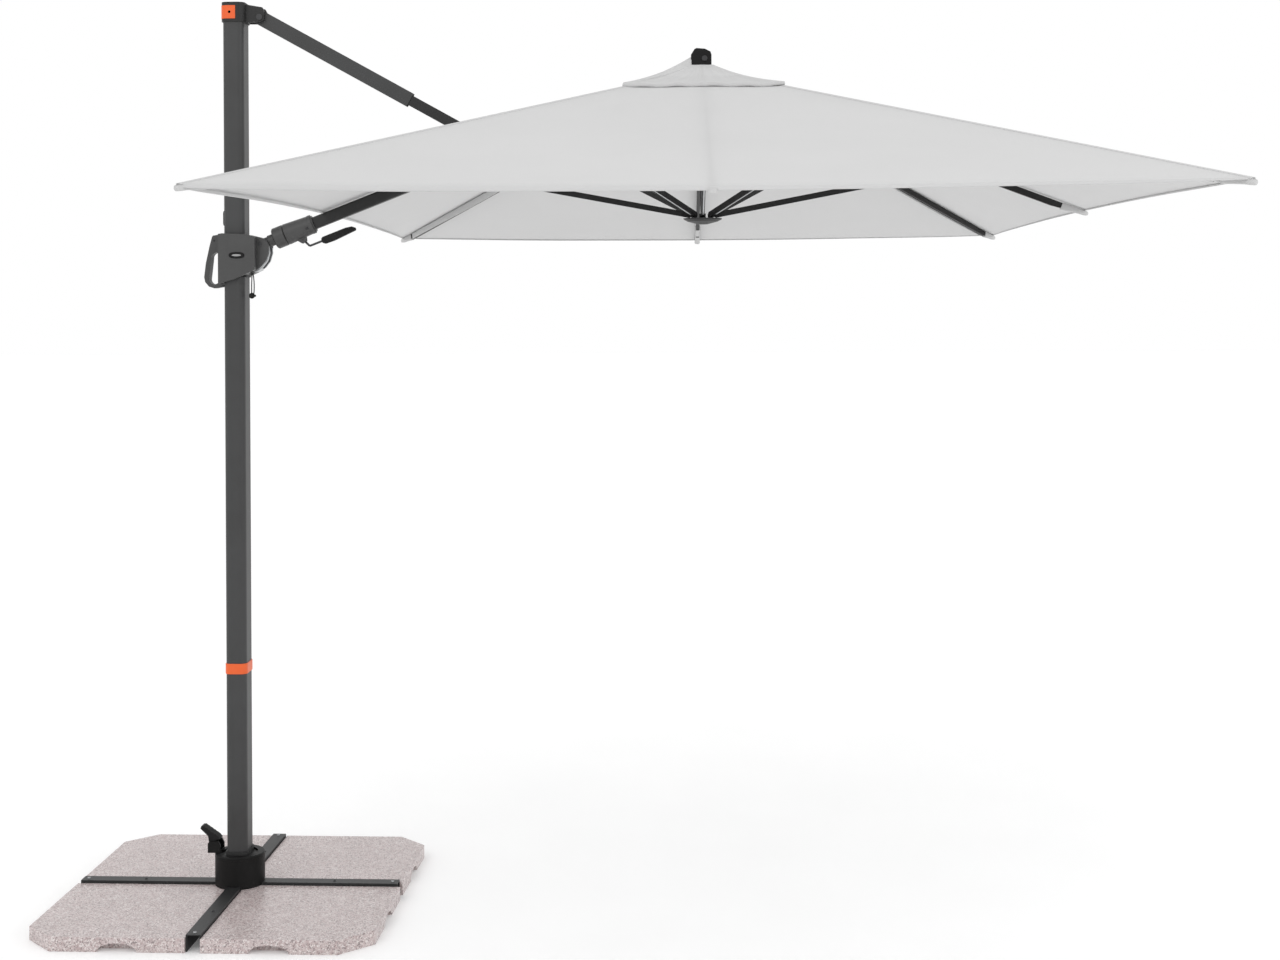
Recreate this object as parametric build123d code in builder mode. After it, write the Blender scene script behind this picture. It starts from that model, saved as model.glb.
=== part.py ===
"""Cantilever parasol on a slab-weighted cross foot, as separate pieces in one frame.

Millimetres, +Z up. The ground is z = 0, the mast axis is x = 0, y = 0, and the arm runs along +X.
The four-bar fold is a symmetric pair of equal links (strut and lower arm), so the slider stays on the mast
line at every fold angle. The same arithmetic places the ribs and stretchers.
"""
import math
import os

from build123d import *

os.makedirs("parts", exist_ok=True)

# ---------------------------------------------------------------- driving dimensions
SLAB, SLAB_T, SLAB_GAP, SLAB_CORNER = 452, 38, 21, 85
FOOT_TURN = -1.75                # the foot stands turned this much from the arm
BEAM_LEN, BEAM_W, BEAM_H, BEAM_T = 928, 40, 46, 3
SLEEVE_R, SLEEVE_TOP = 71, 130
MAST_X, MAST_Y, MAST_R, MAST_WALL = 60, 84, 16, 3
MAST_BOTTOM, MAST_JOINT, MAST_TOP = 116, 668, 2583
OFFSET = 74                      # strut and arm pivots stand this far from the mast axis
STRUT_Z, SLIDER_Z = 2551, 1895   # their heights with the canopy open
STRUT_OPEN, STRUT_SHUT = 60.9, 3.0   # strut angle from the vertical
CROWN_X, ARM_END_Z = 1353, 2396  # where the arm's axis meets the crown's axis
BUTTON_X, BUTTON_Z = 1360, 2422  # cross bolt through the crown's cap
ARM_H, ARM_W, ARM_WALL = 35, 30, 2.5
STRUT_H, STRUT_W = 42, 26
HALF_X, HALF_Y = 1100, 1540      # half the canopy's plan
EDGE_SIDE, EDGE_ARM, EDGE_FRONT, EDGE_CORNER = 1983, 1991, 1957, 1968
RIB_Z, RIB_R = 2366, 42          # rib pivots on the crown hub
TIP_Z, TIP_R = 1973, 40          # stretcher ends on the lower hub
RIB_H, RIB_W, BAR_H, BAR_W = 18, 12, 16, 9.6
RIB_MITRE = 95                   # the ribs' tips are cut away below over this length
LUG_DROP, FOLDED_LEAN, SIDE_REACH = 22, 1.5, 705
CLEAR = 0.05                     # radial clearance of a running fit

# ---------------------------------------------------------------- linkage arithmetic
rad = math.radians
LINK = (STRUT_Z - SLIDER_Z) / 2 / math.cos(rad(STRUT_OPEN))
FOLD = STRUT_OPEN - STRUT_SHUT
SLOPE = math.atan2(ARM_END_Z - SLIDER_Z, CROWN_X - OFFSET)
COS, SIN = math.cos(SLOPE), math.sin(SLOPE)
ARM_LEN = math.hypot(CROWN_X - OFFSET, ARM_END_Z - SLIDER_Z)
JOINT_X = OFFSET + LINK * math.sin(rad(STRUT_OPEN))
JOINT_Z = (STRUT_Z + SLIDER_Z) / 2
JOINT_ALONG = (JOINT_X - OFFSET) * COS + (JOINT_Z - SLIDER_Z) * SIN
JOINT_UP = -(JOINT_X - OFFSET) * SIN + (JOINT_Z - SLIDER_Z) * COS

RIB_ENDS = {
    "side": (HALF_X - 5, EDGE_SIDE - 13),
    "front": (HALF_Y - 5, EDGE_FRONT - 13),
    "corner": (math.hypot(HALF_X, HALF_Y) - 7, EDGE_CORNER - 13),
}
CORNER_AZ = math.degrees(math.atan2(HALF_Y, HALF_X))
RIBS = [
    ("rib_side", "side", 0),
    ("rib_back_right", "corner", CORNER_AZ),
    ("rib_back", "front", 90),
    ("rib_back_left", "corner", 180 - CORNER_AZ),
    ("rib_front_left", "corner", 180 + CORNER_AZ),
    ("rib_front", "front", 270),
    ("rib_front_right", "corner", 360 - CORNER_AZ),
]


def turned(point, centre, degrees):
    """Turn (r, z) about centre, outward going down."""
    a = rad(degrees)
    x, z = point[0] - centre[0], point[1] - centre[1]
    return centre[0] + x * math.cos(a) + z * math.sin(a), centre[1] - x * math.sin(a) + z * math.cos(a)


def rib_slope(kind):
    return math.atan2(RIB_Z - RIB_ENDS[kind][1], RIB_ENDS[kind][0] - RIB_R)


def lug_point(kind, reach):
    s = rib_slope(kind)
    x = RIB_R + reach * math.cos(s) - LUG_DROP * math.sin(s)
    return x, RIB_Z - reach * math.sin(s) - LUG_DROP * math.cos(s)


def hub_drop(kind, reach):
    """How far the lower hub hangs below the rib pivots when the ribs are folded."""
    p = lug_point(kind, reach)
    length = math.hypot(p[0] - TIP_R, p[1] - TIP_Z)
    q = turned(p, (RIB_R, RIB_Z), 90 - math.degrees(rib_slope(kind)) - FOLDED_LEAN)
    return RIB_Z - (q[1] - math.sqrt(length**2 - (q[0] - TIP_R) ** 2))


def solved(f, low, high):
    for _ in range(60):
        mid = (low + high) / 2
        if f(low) * f(mid) <= 0:
            high = mid
        else:
            low = mid
    return (low + high) / 2


DROP = hub_drop("side", SIDE_REACH)
REACH = {"side": SIDE_REACH}
for kind in ("front", "corner"):
    REACH[kind] = solved(lambda a, k=kind: hub_drop(k, a) - DROP, 400, 900)


def arm_lug(back):
    """A point under the arm, back along it from the crown, as (distance from the crown axis, z)."""
    return back * COS - 30 * SIN, ARM_END_Z - back * SIN - 30 * COS


def arm_misfit(back):
    p = arm_lug(back)
    q = turned(p, (0, ARM_END_Z), FOLD)
    length = math.hypot(p[0] - TIP_R, p[1] - TIP_Z)
    return math.hypot(q[0] - TIP_R, q[1] - (RIB_Z - DROP)) - length


ARM_LUG_BACK = solved(arm_misfit, 500, 1000)
ARM_LUG_ALONG = ARM_LEN - ARM_LUG_BACK

# ---------------------------------------------------------------- planes
ARM_SIDE = Plane(origin=(OFFSET, 0, SLIDER_Z), x_dir=(COS, 0, SIN), z_dir=(0, -1, 0))
STRUT_SIDE = Plane(
    origin=(OFFSET, 0, STRUT_Z),
    x_dir=(math.sin(rad(STRUT_OPEN)), 0, -math.cos(rad(STRUT_OPEN))),
    z_dir=(0, -1, 0),
)


def arm_section(along):
    """Cross-section plane of the arm: local x is world Y, local y is up across the arm."""
    return Plane(origin=(OFFSET + along * COS, 0, SLIDER_Z + along * SIN), x_dir=(0, 1, 0), z_dir=(COS, 0, SIN))


def side_at(plane, y):
    """A side plane moved to world y; extruding goes towards -y."""
    return Plane(origin=plane.origin + Vector(0, y, 0), x_dir=plane.x_dir, z_dir=plane.z_dir)


def flat(z):
    return Plane.XY.offset(z)


def save(piece, label, turn=0):
    solid = piece.part.rotate(Axis.Z, turn) if turn else piece.part
    solid.label = label
    export_step(solid, f"parts/{label}.step")


def round_rect(width, height, radius, plane, depth, mode=Mode.ADD):
    with BuildSketch(plane) as shape:
        RectangleRounded(width, height, radius)
    extrude(shape.sketch, amount=depth, mode=mode)


def disc(radius, plane, depth, mode=Mode.ADD, at=(0, 0)):
    with BuildSketch(plane) as shape:
        with Locations(at):
            Circle(radius)
    extrude(shape.sketch, amount=depth, mode=mode)


def plate(points, plane, depth, mode=Mode.ADD, both=False):
    with BuildSketch(plane) as shape:
        with BuildLine():
            Polyline(*points, close=True)
        make_face()
    extrude(shape.sketch, amount=depth, both=both, mode=mode)


# ---------------------------------------------------------------- foot
def beam(label, start, end, along_x):
    """A folded sheet channel: a top, one full wall and one short lip."""
    x_dir = (0, 1, 0) if along_x else (1, 0, 0)
    z_dir = (1, 0, 0) if along_x else (0, 1, 0)
    plane = Plane(origin=(start, 0, 0) if along_x else (0, start, 0), x_dir=x_dir, z_dir=z_dir)
    up = 1 if along_x else -1
    half = BEAM_W / 2
    wall = half if along_x else -half
    inner = wall - math.copysign(BEAM_T, wall)
    points = [
        (wall, 0), (wall, up * BEAM_H), (-wall, up * BEAM_H), (-wall, up * (BEAM_H - 15)),
        (-inner, up * (BEAM_H - 15)), (-inner, up * (BEAM_H - BEAM_T)), (inner, up * (BEAM_H - BEAM_T)), (inner, 0),
    ]
    with BuildPart() as channel:
        plate(points, plane, end - start)
        if along_x:
            with Locations((0, -1.5, BEAM_T / 2)):
                Box(120, BEAM_W - 3, BEAM_T)
    save(channel, label, FOOT_TURN)


beam("cross_beam_x", -BEAM_LEN / 2, BEAM_LEN / 2, True)
beam("cross_beam_front", -BEAM_LEN / 2, -BEAM_W / 2, False)
beam("cross_beam_back", BEAM_W / 2, BEAM_LEN / 2, False)


def slab(label, sx, sy):
    far = SLAB_GAP + SLAB
    corner = far - SLAB_CORNER
    grip = SLAB_GAP + (SLAB - SLAB_CORNER) / 2
    outline = [(SLAB_GAP, SLAB_GAP), (far, SLAB_GAP), (far, corner), (corner, far), (SLAB_GAP, far)]
    with BuildPart() as stone:
        plate([(sx * x, sy * y) for x, y in outline], flat(0), SLAB_T)
        chamfer(stone.faces().sort_by(Axis.Z)[-1].edges(), 1.5)
        for plane, centre in (
            (Plane(origin=(0, sy * (far + 1), 0), x_dir=(1, 0, 0), z_dir=(0, -sy, 0)), sx * grip),
            (Plane(origin=(sx * (far + 1), 0, 0), x_dir=(0, 1, 0), z_dir=(-sx, 0, 0)), sy * grip),
        ):
            with BuildSketch(plane):
                with Locations((centre, 0)):
                    Ellipse(54, 23)
            extrude(amount=31, mode=Mode.SUBTRACT)
    save(stone, label, FOOT_TURN)


slab("slab_front_left", -1, -1)
slab("slab_front_right", 1, -1)
slab("slab_back_left", -1, 1)
slab("slab_back_right", 1, 1)

with BuildPart() as mount_plate:
    disc(68, flat(BEAM_H), 6)
    disc(45, flat(BEAM_H + 6), 52)
    disc(22, flat(BEAM_H + 58), 216)
    disc(18, flat(BEAM_H + 6), 268, mode=Mode.SUBTRACT)
    with BuildSketch(flat(BEAM_H)):
        with PolarLocations(57, 4, start_angle=45):
            Circle(4.5)
    extrude(amount=6, mode=Mode.SUBTRACT)
save(mount_plate, "mount_plate", FOOT_TURN)

with BuildPart() as base_sleeve:
    disc(SLEEVE_R, flat(SLAB_T + 1), SLEEVE_TOP - SLAB_T - 1)
    chamfer(base_sleeve.edges().group_by(Axis.Z)[-1], 2.5)
    disc(68.5, flat(SLAB_T), SLEEVE_TOP - 5 - SLAB_T, mode=Mode.SUBTRACT)
    disc(51, flat(SLAB_T), SLEEVE_TOP, mode=Mode.SUBTRACT)
    with BuildSketch(flat(SLAB_T)):
        Rectangle(200, BEAM_W + 1)
        Rectangle(BEAM_W + 1, 200)
    extrude(amount=BEAM_H - SLAB_T, mode=Mode.SUBTRACT)
    with BuildSketch(flat(SLEEVE_TOP - 9)):
        Circle(SLEEVE_R + 1)
        Circle(SLEEVE_R - 0.8, mode=Mode.SUBTRACT)
    extrude(amount=1.6, mode=Mode.SUBTRACT)
save(base_sleeve, "base_sleeve", FOOT_TURN)

PEDAL_X, PEDAL_Z = -77, 154
with BuildPart() as pedal_bracket:
    plate([(-89, 130), (-51.5, 130), (-51.5, 150), (-58, 163), (-83, 163), (-89, 157)], Plane.XZ, 22, both=True)
    plate([(-95, 137), (-40, 137), (-40, 175), (-95, 175)], Plane.XZ, 16, mode=Mode.SUBTRACT, both=True)
    disc(3.05, Plane.XZ.offset(-30), 60, mode=Mode.SUBTRACT, at=(PEDAL_X, PEDAL_Z))
save(pedal_bracket, "pedal_bracket", FOOT_TURN)

with BuildPart() as foot_pedal:
    with BuildSketch(Plane.XZ):
        with BuildLine():
            Polyline(
                (-55, 168), (-61, 176), (-103, 205), (-110, 205), (-112, 198), (-90, 177),
                (-86, 152), (-77, 146), (-69, 150), (-68, 166), close=True,
            )
        make_face()
    extrude(amount=15.6, both=True)
    for back in range(5):
        x, z = -67 - 8.5 * back, 179 + 5.9 * back
        plate([(x, z), (x - 3.2, z + 2.2), (x - 1.6, z + 3.6), (x + 1.2, z + 1.4)], Plane.XZ, 14, both=True)
    disc(3, Plane.XZ.offset(-21), 42, at=(PEDAL_X, PEDAL_Z))
    fillet(foot_pedal.edges().filter_by(Axis.Y).group_by(Axis.X)[0], 1.5)
save(foot_pedal, "foot_pedal", FOOT_TURN)

# ---------------------------------------------------------------- mast
with BuildPart() as mast_foot:
    disc(62, flat(108), SLEEVE_TOP - 5.5 - 108)
    round_rect(MAST_X + 8, MAST_Y + 8, MAST_R + 4, flat(SLEEVE_TOP - 6), 16)
    round_rect(MAST_X, MAST_Y, MAST_R, flat(MAST_BOTTOM), 40, mode=Mode.SUBTRACT)
    disc(26, flat(100), 30, mode=Mode.SUBTRACT)
save(mast_foot, "mast_foot")

with BuildPart() as swivel_bush:
    disc(40, flat(104), 4)
    disc(26, flat(108), 190)
    disc(22 + CLEAR, flat(100), 220, mode=Mode.SUBTRACT)
save(swivel_bush, "swivel_bush")


def mast_tube(label, low, high):
    with BuildPart() as tube:
        round_rect(MAST_X, MAST_Y, MAST_R, flat(low), high - low)
        round_rect(
            MAST_X - 2 * MAST_WALL, MAST_Y - 2 * MAST_WALL, MAST_R - MAST_WALL, flat(low), high - low,
            mode=Mode.SUBTRACT,
        )
        if label == "mast_lower":
            round_rect(MAST_X - 5, MAST_Y - 5, 13.5, flat(high - 20), 20)
            round_rect(MAST_X - 6.2, MAST_Y - 6.2, 12.9, flat(high - 20), 160)
            round_rect(MAST_X - 12.2, MAST_Y - 12.2, 9.9, flat(high - 30), 190, mode=Mode.SUBTRACT)
        if label == "mast_upper":
            disc(4, Plane.XZ.offset(-60), 120, mode=Mode.SUBTRACT, at=(-8, 2563))
    save(tube, label)


mast_tube("mast_lower", MAST_BOTTOM, MAST_JOINT)
mast_tube("mast_upper", MAST_JOINT, MAST_TOP)

with BuildPart() as joint_band:
    round_rect(MAST_X + 5, MAST_Y + 5, MAST_R + 2.5, flat(MAST_JOINT - 15), 30)
    chamfer(joint_band.faces().sort_by(Axis.Z)[0].edges() + joint_band.faces().sort_by(Axis.Z)[-1].edges(), 0.8)
    round_rect(MAST_X, MAST_Y, MAST_R, flat(MAST_JOINT - 15), 30, mode=Mode.SUBTRACT)
save(joint_band, "joint_band")

CAP_LOW, CAP_HIGH = 2536, 2592
with BuildPart() as top_bracket:
    round_rect(MAST_X + 8, MAST_Y + 8, MAST_R + 4, flat(CAP_LOW), CAP_HIGH - CAP_LOW)
    with BuildSketch(Plane.XZ):
        with BuildLine():
            Polyline((10, CAP_LOW + 1), (78, CAP_LOW), (87, 2542), (87, 2570), (82, 2579), (14, 2591), close=True)
        make_face()
    extrude(amount=24, both=True)
    fillet(top_bracket.edges().filter_by(Axis.Y).group_by(Axis.X)[-1], 5)
    round_rect(MAST_X, MAST_Y, MAST_R, flat(CAP_LOW - 5), MAST_TOP - CAP_LOW + 5, mode=Mode.SUBTRACT)
    plate([(40, CAP_LOW - 5), (100, CAP_LOW - 5), (100, CAP_HIGH), (64, 2577), (46, 2577), (40, 2568)],
          Plane.XZ, STRUT_W / 2 + 0.6, mode=Mode.SUBTRACT, both=True)
    disc(6, Plane.XZ.offset(-40), 80, mode=Mode.SUBTRACT, at=(OFFSET, STRUT_Z))
    disc(4, Plane.XZ.offset(-60), 120, mode=Mode.SUBTRACT, at=(-8, 2563))
    with BuildSketch(flat(2544)):
        RectangleRounded(MAST_X + 8.4, MAST_Y + 8.4, MAST_R + 4.2)
        RectangleRounded(MAST_X + 5, MAST_Y + 5, MAST_R + 2.5, mode=Mode.SUBTRACT)
        with Locations((54, 0)):
            Rectangle(90, 120, mode=Mode.SUBTRACT)
    extrude(amount=38, mode=Mode.SUBTRACT)
save(top_bracket, "top_bracket")

with BuildPart() as top_clip:
    with BuildSketch(flat(2544)):
        RectangleRounded(MAST_X + 10, MAST_Y + 10, MAST_R + 5)
        RectangleRounded(MAST_X + 5, MAST_Y + 5, MAST_R + 2.5, mode=Mode.SUBTRACT)
        with Locations((54, 0)):
            Rectangle(90, 120, mode=Mode.SUBTRACT)
    extrude(amount=38)
    disc(4, Plane.XZ.offset(-60), 120, mode=Mode.SUBTRACT, at=(-8, 2563))
save(top_clip, "top_clip")

with BuildPart() as strut_pin:
    disc(6, Plane.XZ.offset(-24), 48, at=(OFFSET, STRUT_Z))
    disc(9, Plane.XZ.offset(24), 3, at=(OFFSET, STRUT_Z))
    disc(9, Plane.XZ.offset(-27), 3, at=(OFFSET, STRUT_Z))
save(strut_pin, "strut_pin")

# ---------------------------------------------------------------- strut
FORK_FROM = LINK - 190
with BuildPart() as strut_tube:
    with BuildSketch(STRUT_SIDE):
        with Locations(((FORK_FROM + 12) / 2, 0)):
            Rectangle(FORK_FROM + 12, STRUT_H)
        Circle(STRUT_H / 2)
    extrude(amount=STRUT_W / 2, both=True)
    with BuildSketch(STRUT_SIDE):
        with Locations(((FORK_FROM + 22) / 2 + 20, 0)):
            Rectangle(FORK_FROM - 18, STRUT_H - 5)
    extrude(amount=STRUT_W / 2 - 2.5, both=True, mode=Mode.SUBTRACT)
    with BuildSketch(side_at(STRUT_SIDE, -30)):
        Circle(6 + CLEAR)
    extrude(amount=-60, mode=Mode.SUBTRACT)
save(strut_tube, "strut_tube")

with BuildPart() as strut_fork:
    for near, far in ((6.6, STRUT_W / 2 - 2.5), (-STRUT_W / 2 + 2.5, -6.6)):
        with BuildSketch(side_at(STRUT_SIDE, far)):
            with Locations(((FORK_FROM + LINK - 40) / 2, 0)):
                Rectangle(LINK - FORK_FROM + 40, 30)
            with Locations((LINK, 0)):
                Circle(15)
            with Locations((LINK, 0)):
                Circle(6, mode=Mode.SUBTRACT)
        extrude(amount=far - near)
    with BuildSketch(side_at(STRUT_SIDE, 6.6)):
        with Locations((FORK_FROM - 30, 0)):
            Rectangle(60, 30)
    extrude(amount=13.2)
save(strut_fork, "strut_fork")

with BuildPart() as fork_pin:
    with BuildSketch(side_at(ARM_SIDE, STRUT_W / 2 - 2.5)):
        with Locations((JOINT_ALONG, JOINT_UP)):
            Circle(6)
    extrude(amount=STRUT_W - 5)
    for y in (STRUT_W / 2 + 0.5, -STRUT_W / 2 + 2.5):
        with BuildSketch(side_at(ARM_SIDE, y)):
            with Locations((JOINT_ALONG, JOINT_UP)):
                Circle(9)
        extrude(amount=3)
save(fork_pin, "fork_pin")

# ---------------------------------------------------------------- arm carrier
with BuildPart() as arm_collar:
    disc(34, arm_section(JOINT_ALONG - 22), 44)
    with BuildSketch(ARM_SIDE):
        with BuildLine():
            Polyline(
                (JOINT_ALONG - 20, 26), (JOINT_ALONG + 20, 26), (JOINT_ALONG + 13, JOINT_UP),
                (JOINT_ALONG - 13, JOINT_UP), close=True,
            )
        make_face()
        with Locations((JOINT_ALONG, JOINT_UP)):
            Circle(13)
    extrude(amount=6, both=True)
    disc(28 + CLEAR, arm_section(JOINT_ALONG - 30), 60, mode=Mode.SUBTRACT)
    with BuildSketch(side_at(ARM_SIDE, 10)):
        with Locations((JOINT_ALONG, JOINT_UP)):
            Circle(6 + CLEAR)
    extrude(amount=20, mode=Mode.SUBTRACT)
save(arm_collar, "arm_collar")

BARREL_FROM, BARREL_SPLIT, BARREL_TO = 40, 76, 150
with BuildPart() as knuckle:
    with BuildSketch(ARM_SIDE):
        Circle(15)
        with Locations((16, 0)):
            Rectangle(32, 26)
        Circle(6 + CLEAR, mode=Mode.SUBTRACT)
    extrude(amount=12, both=True)
    disc(17, arm_section(22), 30)
    with BuildSketch(side_at(ARM_SIDE, 25)):
        Circle(20)
    extrude(amount=12.9, mode=Mode.SUBTRACT)
    with BuildSketch(side_at(ARM_SIDE, -12.1)):
        Circle(20)
    extrude(amount=12.9, mode=Mode.SUBTRACT)
    disc(31, arm_section(BARREL_FROM), BARREL_SPLIT - BARREL_FROM - 1.5)
    chamfer(knuckle.edges().filter_by(GeomType.CIRCLE).filter_by(lambda e: abs(e.radius - 31) < 0.01), 3)
    disc(12, arm_section(BARREL_SPLIT - 10), 60)
save(knuckle, "knuckle")

with BuildPart() as hinge_pin:
    disc(6, Plane.XZ.offset(-31), 62, at=(OFFSET, SLIDER_Z))
save(hinge_pin, "hinge_pin")

# ---------------------------------------------------------------- slider on the mast
HOUSING = [
    (-42, 1780), (-42, 1923), (-30, 1925), (36, 1922), (64, 1915), (64, 1820), (30, 1804), (6, 1793),
]
NOSE = [
    (36, 1811), (36, 1921), (79, 1911), (92, 1904), (100, 1891), (97, 1867), (90, 1847), (76, 1831), (62, 1819),
]
HANDLE = [
    (-38, 1771), (-62, 1767), (-78, 1772), (-89, 1785), (-92, 1799), (-87, 1839), (-76, 1889), (-69, 1915),
    (-66, 1920), (-38, 1924),
]
SLOT_TOP, SLOT_LOW, SLOT_R = (-55.5, 1855), (-62.5, 1794), 15.5
POCKET = [(-100, 1837), (-76.5, 1837), (-63, 1903), (-57, 1909), (-57, 1937), (-100, 1937)]


EYELET = (52, 1813)              # the safety pin's loop hangs here


def cover(label, sign):
    """One half of the slider's moulded housing, with its half of the grip loop."""
    with BuildPart() as half:
        plate(HOUSING, Plane.XZ, -sign * 56)
        plate(NOSE, Plane.XZ, -sign * 29)
        plate(HANDLE, Plane.XZ, -sign * 17)
        round_rect(MAST_X + 8, MAST_Y + 8, MAST_R + 4, flat(1747), 200, mode=Mode.SUBTRACT)
        plate([(34.2, 1747), (140, 1747), (140, 1947), (34.2, 1947)], Plane.XZ, 22.2, mode=Mode.SUBTRACT, both=True)
        with BuildSketch(Plane.XZ.offset(-20)):
            with Locations(SLOT_TOP, SLOT_LOW):
                Circle(SLOT_R)
            with BuildLine():
                Polyline(
                    (SLOT_TOP[0] - SLOT_R, SLOT_TOP[1] - 2), (SLOT_TOP[0] + SLOT_R, SLOT_TOP[1] + 1),
                    (SLOT_LOW[0] + SLOT_R, SLOT_LOW[1] + 1), (SLOT_LOW[0] - SLOT_R, SLOT_LOW[1] - 1), close=True,
                )
            make_face()
        extrude(amount=40, mode=Mode.SUBTRACT)
        plate(POCKET, Plane.XZ, 11, mode=Mode.SUBTRACT, both=True)
        disc(6.6, Plane.XZ.offset(-11), 22, mode=Mode.SUBTRACT, at=(-62, 1905))
        disc(3.05, Plane.XZ.offset(-20), 40, mode=Mode.SUBTRACT, at=(-62, 1905))
        disc(6, Plane.XZ.offset(-40), 80, mode=Mode.SUBTRACT, at=(OFFSET, SLIDER_Z))
        if sign < 0:
            disc(4, Plane.XZ.offset(27), 3.5, at=EYELET)
            disc(4, Plane.XZ.offset(37.5), 3.5, at=EYELET)
            disc(1.55, Plane.XZ.offset(20), 30, mode=Mode.SUBTRACT, at=EYELET)
    save(half, label)


cover("cover_front", -1)
cover("cover_back", 1)

with BuildPart() as guide_liner:
    round_rect(MAST_X + 8, MAST_Y + 8, MAST_R + 4, flat(1799), 118)
    round_rect(MAST_X + 1, MAST_Y + 1, MAST_R + 0.5, flat(1799), 118, mode=Mode.SUBTRACT)
save(guide_liner, "guide_liner")

FRAME = [
    (34.2, 1813), (34.2, 1915), (78, 1908), (90, 1900), (98, 1889), (101, 1869), (94, 1845), (80, 1827), (64, 1815),
]
with BuildPart() as slider_frame:
    plate(FRAME, Plane.XZ, 22, both=True)
    plate([(46, 1837), (140, 1797), (140, 1947), (46, 1947)], Plane.XZ, 15, mode=Mode.SUBTRACT, both=True)
    disc(6, Plane.XZ.offset(-40), 80, mode=Mode.SUBTRACT, at=(OFFSET, SLIDER_Z))
save(slider_frame, "slider_frame")

with BuildPart() as release_trigger:
    plate([(-87, 1840), (-80.5, 1840), (-68, 1905), (-61, 1910), (-61, 1919), (-66, 1919), (-70, 1914), (-76, 1889)],
          Plane.XZ, 10.5, both=True)
    disc(6, Plane.XZ.offset(-10.5), 21, at=(-62, 1905))
    disc(3, Plane.XZ.offset(-16), 32, at=(-62, 1905))
    for z in range(6):
        plate([(-82.5 + 1.1 * z, 1856 + 5 * z), (-84.6 + 1.1 * z, 1857 + 5 * z), (-82 + 1.1 * z, 1859 + 5 * z)],
              Plane.XZ, 9, both=True)
save(release_trigger, "release_trigger")

# ---------------------------------------------------------------- hanging safety pin on its loop
HANG_X, HANG_Y, HANG_Z = 56, -34, 1813
with BuildPart() as safety_pin:
    with BuildSketch(Plane.XZ.offset(18)):
        with Locations((HANG_X, HANG_Z - 68)):
            Circle(3.5)
    extrude(amount=34)
    with Locations((HANG_X, -56, HANG_Z - 68)):
        Sphere(8.5)
save(safety_pin, "safety_pin")

with BuildPart() as lanyard:
    with BuildLine():
        Polyline((HANG_X - 4, HANG_Y, HANG_Z), (HANG_X - 7, HANG_Y, HANG_Z - 40), (HANG_X - 5.5, HANG_Y, HANG_Z - 68))
    with BuildSketch(Plane(origin=(HANG_X - 4, HANG_Y, HANG_Z), z_dir=(-3, 0, -40))):
        Circle(1.5)
    sweep(transition=Transition.ROUND)
    disc(1.5, Plane.XZ.offset(26.5), 15, at=EYELET)
save(lanyard, "lanyard")

# ---------------------------------------------------------------- arm
with BuildPart() as arm_tube:
    round_rect(ARM_W, ARM_H, 6, arm_section(BARREL_SPLIT + 36), ARM_LEN - 84 - BARREL_SPLIT - 36)
    round_rect(ARM_W - 5, ARM_H - 5, 3.5, arm_section(BARREL_SPLIT + 36), ARM_LEN - 84 - BARREL_SPLIT - 36,
               mode=Mode.SUBTRACT)
    for y in (9, -5.4):
        with BuildSketch(side_at(ARM_SIDE, y)):
            with BuildLine():
                Polyline(
                    (ARM_LUG_ALONG - 16, -ARM_H / 2 + 1), (ARM_LUG_ALONG + 16, -ARM_H / 2 + 1),
                    (ARM_LUG_ALONG + 7, -34), (ARM_LUG_ALONG - 7, -34), close=True,
                )
            make_face()
            with Locations((ARM_LUG_ALONG, -30)):
                Circle(3 + CLEAR, mode=Mode.SUBTRACT)
        extrude(amount=3.6)
save(arm_tube, "arm_tube")

with BuildPart() as arm_bush:
    disc(28, arm_section(JOINT_ALONG - 24), 48)
    disc(31, arm_section(JOINT_ALONG - 26), 3.9)
    disc(31, arm_section(JOINT_ALONG + 22.1), 3.9)
    round_rect(ARM_W, ARM_H, 6, arm_section(JOINT_ALONG - 40), 80, mode=Mode.SUBTRACT)
save(arm_bush, "arm_bush")

LEVER_AT = (116, -33)
with BuildPart() as barrel_front:
    with BuildSketch(arm_section(BARREL_SPLIT)):
        Circle(31)
    with BuildSketch(arm_section(BARREL_TO)):
        Circle(27)
    loft()
    disc(28, arm_section(BARREL_TO), 9)
    disc(24, arm_section(BARREL_TO + 9), 4)
    plate([(96, -24), (128, -24), (124, -40), (110, -42)], ARM_SIDE, 9, both=True)
    round_rect(ARM_W, ARM_H, 6, arm_section(BARREL_SPLIT + 36), 80, mode=Mode.SUBTRACT)
    disc(12 + CLEAR, arm_section(BARREL_SPLIT - 1), 37, mode=Mode.SUBTRACT)
    plate([(90, -27.5), (140, -27.5), (140, -50), (90, -50)], ARM_SIDE, 4.5, mode=Mode.SUBTRACT, both=True)
    with BuildSketch(side_at(ARM_SIDE, 12)):
        with Locations(LEVER_AT):
            Circle(2.5 + CLEAR)
    extrude(amount=24, mode=Mode.SUBTRACT)
save(barrel_front, "barrel_front")

with BuildPart() as arm_end:
    round_rect(ARM_W - 5, ARM_H - 5, 3.5, arm_section(ARM_LEN - 124), 40)
    with BuildSketch(ARM_SIDE):
        with BuildLine():
            Polyline(
                (ARM_LEN - 84, -15), (ARM_LEN - 84, 15), (ARM_LEN, 14), (ARM_LEN, -14), close=True,
            )
        make_face()
        with Locations((ARM_LEN, 0)):
            Circle(14)
        with Locations((ARM_LEN, 0)):
            Circle(6 + CLEAR, mode=Mode.SUBTRACT)
    extrude(amount=13.5, both=True)
save(arm_end, "arm_end")

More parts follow.
